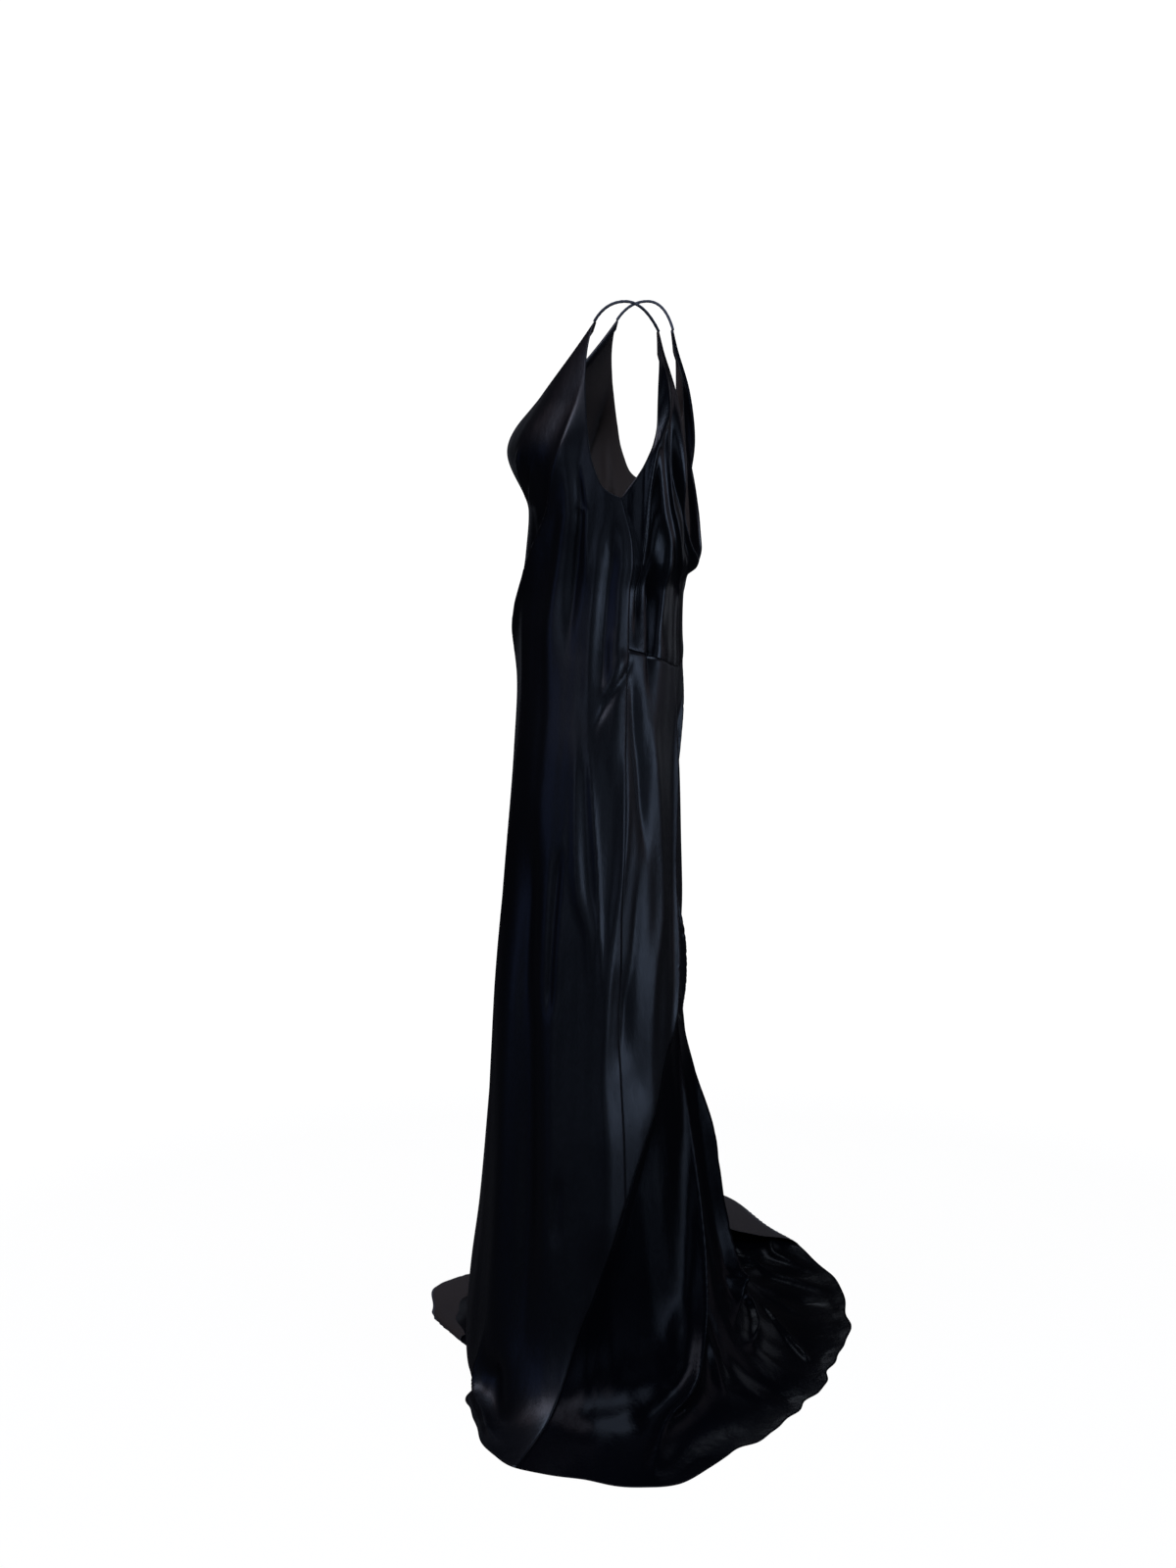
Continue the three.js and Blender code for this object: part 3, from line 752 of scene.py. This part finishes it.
def fill_inputs(tree, node, inputs):
    """Gives a node's inputs their values, or links them to the outputs of other nodes."""
    for place, given in inputs.items():
        if isinstance(given, bpy.types.NodeSocket):
            tree.links.new(given, node.inputs[place])
        else:
            node.inputs[place].default_value = given


def add_node(tree, kind, inputs=None, **settings):
    """A shader node with its settings, and its inputs given or linked."""
    node = tree.nodes.new("ShaderNode" + kind)
    for name, value in settings.items():
        setattr(node, name, value)
    fill_inputs(tree, node, inputs or {})
    return node


def math_node(tree, operation, first, second):
    """The output of a Math node of two values or outputs."""
    return add_node(tree, "Math", {0: first, 1: second}, operation=operation).outputs[0]


def remapped(tree, value, start, end):
    """The output of a Map Range node, which takes one run of values to another."""
    names = ("Value", "From Min", "From Max", "To Min", "To Max")
    return add_node(tree, "MapRange", dict(zip(names, (value, *start, *end)))).outputs["Result"]


def weave_group():
    """Satin weave: fine floats on the bias, and slow crush marks where the cloth has been handled."""
    if "satin_weave" in bpy.data.node_groups:
        return bpy.data.node_groups["satin_weave"]
    group = bpy.data.node_groups.new("satin_weave", "ShaderNodeTree")
    for name, default in (("Threads per metre", 1400.0), ("Weave", 0.1), ("Crush", 1.0)):
        made = group.interface.new_socket(name=name, in_out="INPUT", socket_type="NodeSocketFloat")
        made.default_value = default
    for name in ("Height", "Patches"):
        group.interface.new_socket(name=name, in_out="OUTPUT", socket_type="NodeSocketFloat")
    given = group.nodes.new("NodeGroupInput").outputs
    out = group.nodes.new("NodeGroupOutput")
    cloth = add_node(group, "UVMap", uv_map="cloth").outputs["UV"]
    bias = add_node(group, "Mapping", {"Vector": cloth, "Rotation": (0.0, 0.0, math.radians(45))})
    scale = math_node(group, "MULTIPLY", given["Threads per metre"], 1 / (2 * math.pi))
    floats = add_node(group, "TexWave", {"Vector": bias.outputs["Vector"], "Scale": scale, "Distortion": 1.5})
    where = add_node(group, "TexCoord").outputs["Object"]
    stretched = add_node(group, "Mapping", {"Vector": where, "Scale": (1.0, 1.0, 0.35)})
    spread = {"Vector": stretched.outputs["Vector"]}
    crush = add_node(group, "TexNoise", {**spread, "Scale": 34.0, "Detail": 4.0, "Roughness": 0.55})
    patches = add_node(group, "TexNoise", {**spread, "Scale": 9.0, "Detail": 2.0})
    woven = math_node(group, "MULTIPLY", floats.outputs["Fac"], given["Weave"])
    crushed = math_node(group, "MULTIPLY", crush.outputs["Fac"], given["Crush"])
    height = math_node(group, "ADD", woven, crushed)
    fill_inputs(group, out, {"Height": height, "Patches": patches.outputs["Fac"]})
    return group


def fabric(name, colour, roughness, specular, sheen, weave, crush, bump_depth):
    """A black cloth: weave and crush marks as bump, with slow patches in its colour and its roughness."""
    if name in bpy.data.materials:
        return bpy.data.materials[name]
    material = bpy.data.materials.new(name)
    material.use_nodes = True
    material.diffuse_color = (*colour, 1.0)
    tree = material.node_tree
    effect = add_node(tree, "Group", {"Weave": weave, "Crush": crush}, node_tree=weave_group())
    height, patches = effect.outputs["Height"], effect.outputs["Patches"]
    bump = add_node(tree, "Bump", {"Height": height, "Distance": bump_depth, "Strength": 1.0})
    shares = (1 - PATCHES["shade"], 1 + PATCHES["shade"])
    dark, pale = ((*[share * channel for channel in colour], 1.0) for share in shares)
    shade = add_node(tree, "Mix", {"Factor": patches, "A": dark, "B": pale}, data_type="RGBA")
    glossy, dull = roughness - PATCHES["roughness"], roughness + PATCHES["roughness"]
    inputs = {
        "Base Color": shade.outputs["Result"],
        "Roughness": remapped(tree, patches, PATCHES["run"], (glossy, dull)),
        "Normal": bump.outputs["Normal"],
        "Specular IOR Level": specular,
        "Specular Tint": SPECULAR_TINT,
        "Sheen Weight": sheen,
        "Sheen Roughness": SHEEN_ROUGHNESS,
        "Sheen Tint": SHEEN_TINT,
    }
    fill_inputs(tree, tree.nodes["Principled BSDF"], inputs)
    return material


def satin_material(look, panel):
    """The glossy face of the satin. Each panel has a grain of its own, so it shines broadly or tightly."""
    rougher, shine = GRAIN[panel]
    return fabric(
        "satin_face_" + panel,
        look.face_colour,
        roughness=look.face_roughness + rougher,
        specular=shine,
        sheen=0.0,
        weave=0.02,
        crush=1.0,
        bump_depth=0.0012,
    )


def reverse_material(look):
    """The dull reverse of the satin, browner than its face."""
    return fabric(
        "satin_reverse",
        look.reverse_colour,
        roughness=0.75,
        specular=0.3,
        sheen=0.15,
        weave=0.05,
        crush=0.6,
        bump_depth=0.001,
    )


def strap_material(look):
    """The satin of the straps, tighter and so a little duller."""
    return fabric(
        "strap_satin",
        look.face_colour,
        roughness=look.face_roughness + 0.08,
        specular=0.5,
        sheen=0.0,
        weave=0.05,
        crush=0.3,
        bump_depth=0.0008,
    )


def strap_path(sign, count):
    """Two quadratic curves: from the front point up to the top of the shoulder, and down to the back."""
    front = cloth_points(FRONT_NECK[0][1], FRONT_NECK[0][0])
    back = cloth_points(BACK_NECK[0][1], BACK_NECK[0][0])
    top = np.array(STRAP_TOP)
    before = np.array([top[0], front[1] * STRAP_BOW, top[2]])
    after = np.array([top[0], back[1] * STRAP_BOW, top[2]])
    t = np.linspace(0, 1, count // 2 + 1)[:, None]
    up = (1 - t) ** 2 * front + 2 * t * (1 - t) * before + t * t * top
    down = (1 - t) ** 2 * top + 2 * t * (1 - t) * after + t * t * back
    path = np.concatenate([up, down[1:]])
    return path * (sign, 1, 1)


def tube_grid(path, radius, sides):
    """A round section carried along a path, with its rows along it; a radius of nothing makes a point."""
    ahead = unit(np.gradient(path, axis=0))
    side = unit(np.cross(ahead, np.array([1.0, 0.0, 0.0])))
    other = np.cross(ahead, side)
    turn = np.linspace(0, 2 * math.pi, sides + 1)[None, :, None]
    spoke = np.cos(turn) * side[:, None] + np.sin(turn) * other[:, None]
    return path[:, None] + radius[:, None, None] * spoke


class GownSizes(bpy.types.PropertyGroup):
    """Sizes of the cloth and its seams"""

    cloth_thickness: bpy.props.FloatProperty(
        name="Cloth", description="Thickness of the satin", default=0.0010, unit="LENGTH"
    )
    seam_width: bpy.props.FloatProperty(
        name="Seam width", description="How far from a seam the cloth starts to turn in",
        default=0.0024, unit="LENGTH"
    )
    seam_depth: bpy.props.FloatProperty(
        name="Seam depth", description="How deep the cloth turns in at the train seams",
        default=0.0008, unit="LENGTH"
    )
    yoke_seam_share: bpy.props.FloatProperty(
        name="Yoke seam", description="Depth of the yoke seam against the train seams",
        default=0.3, subtype="FACTOR"
    )
    side_seam_share: bpy.props.FloatProperty(
        name="Side seam", description="Depth of the side seams against the train seams",
        default=0.12, subtype="FACTOR"
    )
    edge_roll: bpy.props.FloatProperty(
        name="Edge roll", description="Radius of the turned neck edges", default=0.0016, unit="LENGTH"
    )
    cowl_facing: bpy.props.FloatProperty(
        name="Cowl facing", description="Depth of the cloth turned in behind the cowl",
        default=0.030, unit="LENGTH"
    )
    neck_facing: bpy.props.FloatProperty(
        name="Neck facing", description="Depth of the cloth turned in behind the V neck",
        default=0.012, unit="LENGTH"
    )
    strap_diameter: bpy.props.FloatProperty(
        name="Strap", description="Diameter of the rolled straps", default=0.0040, unit="LENGTH"
    )


class GownLook(bpy.types.PropertyGroup):
    """Colours and gloss of the cloth"""

    face_colour: bpy.props.FloatVectorProperty(
        name="Face", description="Colour of the glossy face",
        default=(0.0014, 0.0017, 0.0032), subtype="COLOR"
    )
    reverse_colour: bpy.props.FloatVectorProperty(
        name="Reverse", description="Colour of the dull reverse",
        default=(0.040, 0.031, 0.027), subtype="COLOR"
    )
    face_roughness: bpy.props.FloatProperty(
        name="Face roughness", description="Roughness of the glossy face", default=0.33, subtype="FACTOR"
    )


class GownStage(bpy.types.PropertyGroup):
    """The camera's place and the floor"""

    camera_azimuth: bpy.props.FloatProperty(
        name="Azimuth", description="Where the camera stands round the gown",
        default=math.radians(98), unit="ROTATION"
    )
    camera_distance: bpy.props.FloatProperty(
        name="Distance", description="How far the camera stands from the gown", default=3.5, unit="LENGTH"
    )
    camera_height: bpy.props.FloatProperty(
        name="Camera height", description="Height of the camera above the floor", default=1.5, unit="LENGTH"
    )
    camera_lens: bpy.props.FloatProperty(
        name="Lens", description="Focal length for a 36 mm sensor", default=59.25, unit="CAMERA"
    )
    floor_brightness: bpy.props.FloatProperty(
        name="Floor", description="How bright the floor looks near the gown", default=0.97, subtype="FACTOR"
    )


class GOWN_OT_front(bpy.types.Operator):
    """Makes the front, with its V neck, bust folds and hip slashes"""

    bl_idname = "gown.front"
    bl_label = "Front"

    def execute(self, context):
        facing = (context.scene.gown_sizes.neck_facing, FACING_ROWS["neck"])
        piece = sewn_panel(context, "front", front_places(), ("left", "right"), facing)
        return {"FINISHED"}


class GOWN_OT_back_bodice(bpy.types.Operator):
    """Makes the back bodice, with its deep cowl edge turned in"""

    bl_idname = "gown.back_bodice"
    bl_label = "Back bodice"

    def execute(self, context):
        facing = (context.scene.gown_sizes.cowl_facing, FACING_ROWS["cowl"])
        piece = sewn_panel(context, "back_bodice", back_bodice_places(), ("bottom", "left", "right"), facing)
        return {"FINISHED"}


class GOWN_OT_back_skirt(bpy.types.Operator):
    """Makes the back skirt, from the yoke seam to the train seam"""

    bl_idname = "gown.back_skirt"
    bl_label = "Back skirt"

    def execute(self, context):
        piece = sewn_panel(context, "back_skirt", back_skirt_places(), ("bottom", "top", "left", "right"))
        return {"FINISHED"}


class GOWN_OT_train(bpy.types.Operator):
    """Makes the train, from its point at the centre back out onto the floor"""

    bl_idname = "gown.train"
    bl_label = "Train"

    def execute(self, context):
        piece = sewn_panel(context, "train", train_places(), ("top", "left", "right"))
        return {"FINISHED"}


class GOWN_OT_straps(bpy.types.Operator):
    """Makes the two thin rolled straps over the shoulders"""

    bl_idname = "gown.straps"
    bl_label = "Straps"

    def execute(self, context):
        sizes, look = context.scene.gown_sizes, context.scene.gown_look
        for name, sign in (("strap_left", 1), ("strap_right", -1)):
            path = strap_path(sign, STRAP_STEPS)
            lumps = STRAP_LUMPS["share"] * np.cos(np.linspace(0, 1, len(path)) * STRAP_LUMPS["pitch"])
            radius = sizes.strap_diameter / 2 * (1 - lumps)
            radius[[0, -1]] = 0
            piece = new_mesh(name + "_cord", tube_grid(path, radius, STRAP_SIDES))
            closed_up(piece)
            piece.data.materials.append(strap_material(look))
            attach(piece, "root")
            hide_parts(name)
        return {"FINISHED"}


class GOWN_OT_stage(bpy.types.Operator):
    """Sets the pale floor, the soft lights and the camera"""

    bl_idname = "gown.stage"
    bl_label = "Stage"

    def execute(self, context):
        stage = context.scene.gown_stage
        context.scene.view_settings.view_transform = "Standard"
        pale_floor(stage)
        pale_world()
        for row in LIGHTS:
            soft_light(SoftLight(*row))
        camera_at(stage)
        return {"FINISHED"}


# Soft lights. Their height and their aim are above the floor, and the aim lies on the gown's axis
SoftLight = namedtuple("SoftLight", "name azimuth distance height aim width length power colour")
LIGHTS = (
    ("light_key", 82, 3.4, 1.00, 0.90, 1.3, 1.0, 4.4, (0.62, 0.75, 1.0)),
    ("light_side", 124, 3.4, 0.60, 0.60, 1.0, 1.1, 2.0, (0.66, 0.78, 1.0)),
    ("light_back", 168, 3.4, 0.50, 0.50, 2.0, 0.9, 16.5, (0.64, 0.77, 1.0)),
    ("light_shoulder", 150, 3.4, 1.90, 1.30, 1.6, 0.8, 2.0, (0.70, 0.82, 1.0)),
    ("light_rear", 202, 3.4, 1.50, 0.80, 1.2, 2.4, 3.0, (1.0, 0.88, 1.0)),
    ("light_window", 40, 3.4, 1.20, 0.80, 1.2, 2.0, 3.4, (0.32, 0.46, 1.0)),
    ("light_top", 110, 0.8, 3.30, 0.00, 2.2, 1.6, 37.0, (0.70, 0.81, 1.0)),
    ("light_bend", 50, 2.3, 3.20, 0.20, 2.2, 1.3, 32.0, (0.92, 0.88, 1.0)),
    ("light_above", 0, 2.3, 3.20, 0.60, 1.2, 1.2, 2.6, (1.0, 0.74, 0.78)),
    ("light_far", 272, 3.0, 1.00, 0.10, 0.5, 0.5, 0.8, (0.80, 0.88, 1.0)),
    ("light_behind", 266, 2.2, 2.40, 0.10, 0.6, 0.6, 2.4, (0.80, 0.88, 1.0)),
    ("light_front", 303, 3.2, 1.30, 1.00, 1.0, 1.6, 0.6, (0.74, 0.82, 1.0)),
    ("light_far_side", 236, 3.2, 1.10, 0.90, 1.0, 1.6, 1.2, (0.80, 0.86, 1.0)),
)

# The camera looks at this spot, and stands as far forward of the gown's axis as the spot lies
CAMERA_AIM = (0.0, -0.0654, -0.6566)

# The floor's rings and sides, over what distance its brightness fades into the background's, its own shade,
# and the dim fill that the background gives
FLOOR_RADII = (0.0, 0.5, 1.0, 2.0, 4.0, 8.0, 16.0, 40.0)
FLOOR_SIDES = 96
FLOOR_FADE = (1.9, 3.2)
FLOOR_SHADE = (0.06, 0.06, 0.062, 1.0)
BACKGROUND_BRIGHTNESS = 1.1
FILL_COLOUR = (1.0, 0.93, 0.97, 1.0)
FILL_STRENGTH = 0.012
WHITE = (1.0, 1.0, 1.0, 1.0)


def look_at(made, spot):
    """Turns an object so that its -Z points at a spot."""
    away = made.location - mathutils.Vector(spot)
    made.rotation_euler = away.to_track_quat("Z", "Y").to_euler()


def round_place(azimuth, distance, height):
    """A place round the gown, at a height above the floor: azimuth 0 is in front, 90 at the wearer's left."""
    turn = math.radians(azimuth)
    return (distance * math.sin(turn), -distance * math.cos(turn), FLOOR_Z + height)


def soft_light(light):
    """One rectangular area light, aimed at the gown's axis."""
    data = bpy.data.lights.new(light.name, "AREA")
    data.shape = "RECTANGLE"
    data.size, data.size_y = light.width, light.length
    data.energy = light.power
    data.color = light.colour
    made = bpy.data.objects.new(light.name, data)
    made.location = round_place(light.azimuth, light.distance, light.height)
    bpy.context.scene.collection.objects.link(made)
    look_at(made, (0, 0, FLOOR_Z + light.aim))


def camera_at(stage):
    """The camera at the gown's side, above its middle, looking a little down at it."""
    data = bpy.data.cameras.new("camera")
    data.lens = stage.camera_lens
    made = bpy.data.objects.new("camera", data)
    place = round_place(math.degrees(stage.camera_azimuth), stage.camera_distance, stage.camera_height)
    made.location = (place[0], place[1] + CAMERA_AIM[1], place[2])
    bpy.context.scene.collection.objects.link(made)
    look_at(made, CAMERA_AIM)
    bpy.context.scene.camera = made


def pale_floor(stage):
    """A round pale floor that fades into the background away from the gown."""
    turn = np.linspace(0, 2 * math.pi, FLOOR_SIDES + 1)[None, :, None]
    radius = np.array(FLOOR_RADII)[:, None, None]
    level = np.full_like(radius * turn, FLOOR_Z)
    grid = np.concatenate([radius * np.cos(turn), radius * np.sin(turn), level], axis=-1)[::-1]
    floor = new_mesh("floor", grid)
    closed_up(floor)
    material = bpy.data.materials.new("pale_floor")
    material.use_nodes = True
    tree = material.node_tree
    tree.nodes.clear()
    rays = add_node(tree, "LightPath").outputs["Is Camera Ray"]
    where = add_node(tree, "TexCoord").outputs["Object"]
    far = add_node(tree, "VectorMath", {0: where}, operation="LENGTH").outputs["Value"]
    fade = remapped(tree, far, FLOOR_FADE, (stage.floor_brightness, BACKGROUND_BRIGHTNESS))
    lit = add_node(tree, "BsdfDiffuse", {"Color": FLOOR_SHADE})
    glow = add_node(tree, "Emission", {"Color": WHITE, "Strength": math_node(tree, "MULTIPLY", rays, fade)})
    both = add_node(tree, "AddShader", {0: lit.outputs[0], 1: glow.outputs[0]})
    add_node(tree, "OutputMaterial", {"Surface": both.outputs[0]})
    floor.data.materials.append(material)


def pale_world():
    """A pale background that the camera sees, and that gives the cloth only a dim, warm fill."""
    world = bpy.data.worlds.new("studio")
    world.use_nodes = True
    tree = world.node_tree
    tree.nodes.clear()
    seen = add_node(tree, "Background", {"Color": WHITE, "Strength": BACKGROUND_BRIGHTNESS})
    fill = add_node(tree, "Background", {"Color": FILL_COLOUR, "Strength": FILL_STRENGTH})
    rays = add_node(tree, "LightPath").outputs["Is Camera Ray"]
    mix = add_node(tree, "MixShader", {"Fac": rays, 1: fill.outputs[0], 2: seen.outputs[0]})
    add_node(tree, "OutputWorld", {"Surface": mix.outputs[0]})
    bpy.context.scene.world = world


class GOWN_PT_pieces(bpy.types.Panel):
    """Lists the gown's pieces, sizes and colours"""

    bl_idname = "GOWN_PT_pieces"
    bl_label = "Evening gown"
    bl_space_type = "VIEW_3D"
    bl_region_type = "UI"
    bl_category = "Gown"

    def draw(self, context):
        for place in GROUPS:
            group = getattr(context.scene, place)
            for name in group.__annotations__:
                self.layout.prop(group, name)
        for operator in PIECES:
            self.layout.operator(operator.bl_idname)


PIECES = (
    GOWN_OT_stage,
    GOWN_OT_front,
    GOWN_OT_back_bodice,
    GOWN_OT_back_skirt,
    GOWN_OT_train,
    GOWN_OT_straps,
)
GROUPS = {"gown_sizes": GownSizes, "gown_look": GownLook, "gown_stage": GownStage}


def register():
    """Registers the groups of values, the operators and the panel."""
    for made in (*GROUPS.values(), *PIECES, GOWN_PT_pieces):
        bpy.utils.register_class(made)
    for name, made in GROUPS.items():
        setattr(bpy.types.Scene, name, bpy.props.PointerProperty(type=made))


def unregister():
    """Undoes register."""
    for name in GROUPS:
        delattr(bpy.types.Scene, name)
    for made in (GOWN_PT_pieces, *reversed(PIECES), *reversed(GROUPS.values())):
        bpy.utils.unregister_class(made)


def main():
    """Builds the stage and every piece."""
    register()
    bpy.ops.gown.stage()
    bpy.ops.gown.front()
    bpy.ops.gown.back_bodice()
    bpy.ops.gown.back_skirt()
    bpy.ops.gown.train()
    bpy.ops.gown.straps()


if __name__ == "__main__":
    main()
